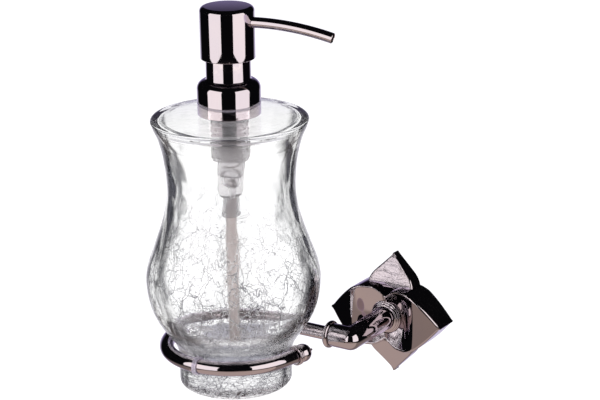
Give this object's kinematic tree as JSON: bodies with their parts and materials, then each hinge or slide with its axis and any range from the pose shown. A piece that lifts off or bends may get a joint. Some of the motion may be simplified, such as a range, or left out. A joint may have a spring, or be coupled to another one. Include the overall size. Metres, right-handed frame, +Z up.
{
  "type": "wall mounted soap dispenser",
  "caption": "Wall mounted soap dispenser: crackle glass vase bottle held in a rod ring on an elbow arm and sculpted square rosette, with a lotion pump and drooping spout.",
  "frame": {"origin": "middle of the wall plate's back face, on the arm's axis and at the height of the ring's rod", "axes": "+Z up, +Y into the wall, +X to the right for someone facing the wall; the dispenser stands out along -Y and the bottle is to the left of the arm"},
  "size_m": [0.1262, 0.129, 0.2119],
  "materials": {
    "dark_chrome": "polished dark chrome plate",
    "steel": "bright steel",
    "crackle_glass": "clear crackle glass, plain near the top",
    "clear_plastic": "translucent natural polypropylene",
    "white_plastic": "white moulded polypropylene",
    "silicone": "clear silicone with a lilac tint"
  },
  "bodies": {
    "bracket": {"wall_plate": "steel", "rosette": "dark_chrome", "rosette_grub_screw": "steel", "arm_fixing_screw": "steel", "arm_flange": "dark_chrome", "elbow_arm": "dark_chrome", "elbow_bead": "dark_chrome", "holder_ring": "dark_chrome", "finial_collar": "dark_chrome", "finial_ball": "dark_chrome", "ring_cushion_1": "silicone", "ring_cushion_2": "silicone", "ring_cushion_3": "silicone"},
    "bottle": {"glass_bottle": "crackle_glass", "neck_insert": "clear_plastic"},
    "pump": {"sealing_gasket": "white_plastic", "pump_cylinder": "clear_plastic", "dip_tube": "clear_plastic", "stem_lock_ring": "white_plastic", "return_spring": "steel"},
    "valve": {"check_ball": "steel"},
    "closure": {"closure_nut": "white_plastic", "closure_shell": "dark_chrome"},
    "plunger": {"piston_seal": "white_plastic", "plunger_stem": "white_plastic"},
    "head": {"actuator_core": "white_plastic", "head_shell": "dark_chrome", "spout_tube": "dark_chrome"}
  },
  "joints": [
    {"name": "bottle_lift", "type": "slide", "parent": "bracket", "child": "bottle", "axis": [0, 0, 1], "range_m": [0, 0.06]},
    {"name": "pump_lift", "type": "slide", "parent": "bottle", "child": "pump", "axis": [0, 0, 1], "range_m": [0, 0.16]},
    {"name": "closure_turn", "type": "hinge", "parent": "pump", "child": "closure", "pos_m": [-0.0482, -0.0844, 0.13], "axis": [0, 0, 1], "range_deg": [0, 540]},
    {"name": "valve_rise", "type": "slide", "parent": "pump", "child": "valve", "axis": [0, 0, 1], "range_m": [0, 0.0014]},
    {"name": "head_press", "type": "slide", "parent": "pump", "child": "plunger", "axis": [0, 0, 1], "range_m": [-0.0095, 0], "stiffness_N_per_m": 800, "springref_m": 0.01, "deforming": ["return_spring"]},
    {"name": "head_swivel", "type": "hinge", "parent": "plunger", "child": "head", "pos_m": [-0.0482, -0.0844, 0.17], "axis": [0, 0, 1], "continuous": true}
  ]
}
